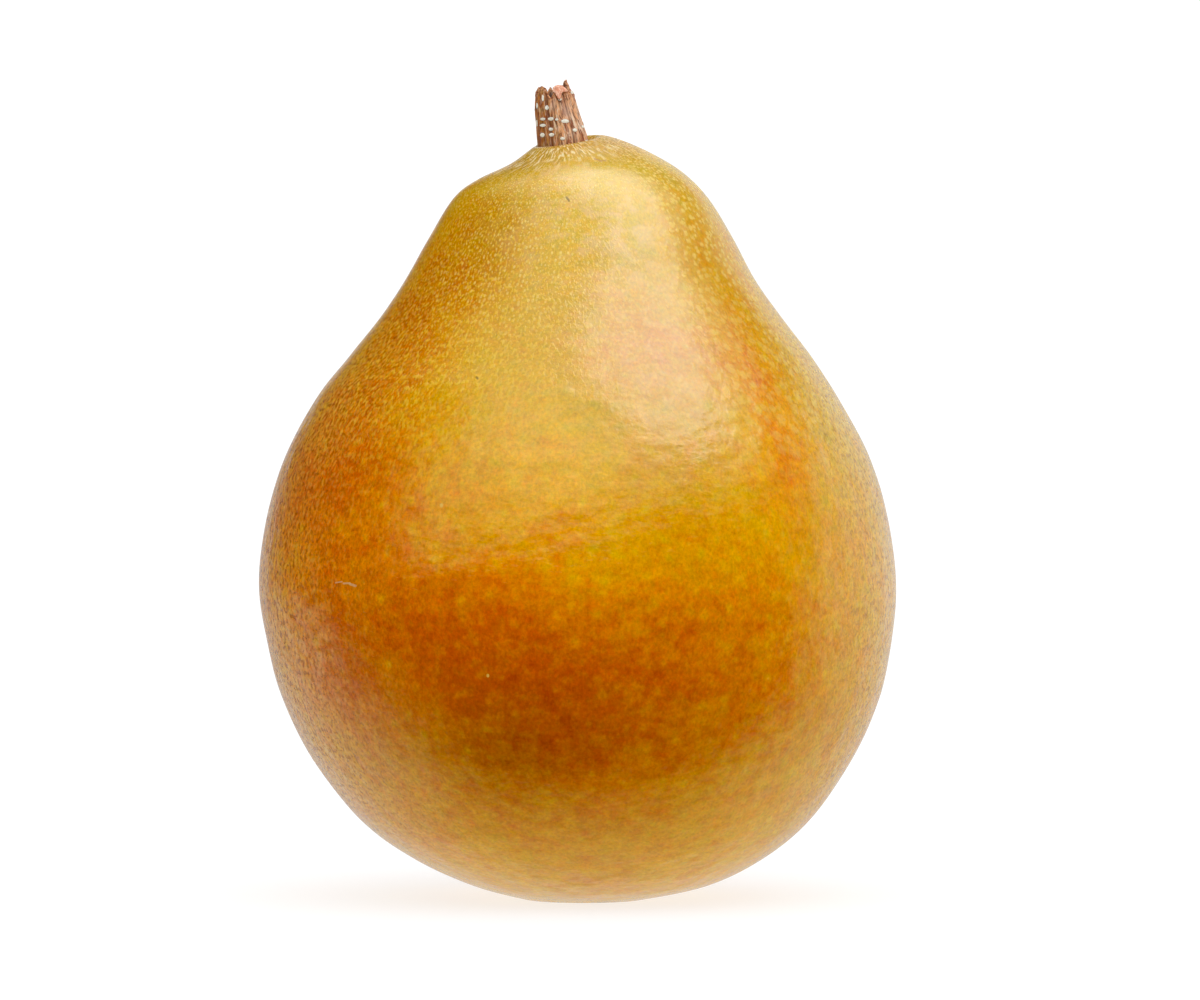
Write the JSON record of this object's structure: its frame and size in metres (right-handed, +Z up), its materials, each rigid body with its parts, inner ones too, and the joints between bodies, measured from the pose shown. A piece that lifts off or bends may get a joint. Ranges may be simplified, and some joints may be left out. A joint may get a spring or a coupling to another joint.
{
  "type": "pear",
  "caption": "Whole ripe pear, short and broad, standing on its blossom end, with a stout broken stem above and a dried calyx in the basin below.",
  "frame": {"origin": "on the surface that the pear stands on, under the middle of its bounding box", "axes": "+Z up from the blossom end to the stem; the pictured side faces -Y; +X to the right in the picture"},
  "size_m": [0.08, 0.0788, 0.1026],
  "materials": {
    "skin": "smooth waxy fruit skin, golden amber with an orange blush and pale dots, half glossy",
    "bark": "ribbed pinkish-brown bark with pale dots, matt",
    "dry_sepal": "dry and papery, dark brown, matt",
    "dry_stamen": "dry and brittle, nearly black, matt"
  },
  "bodies": {
    "root": {"fruit": "skin", "stem": "bark", "sepal_1": "dry_sepal", "sepal_2": "dry_sepal", "sepal_3": "dry_sepal", "sepal_4": "dry_sepal", "sepal_5": "dry_sepal", "dried_stamens": "dry_stamen"}
  },
  "joints": []
}
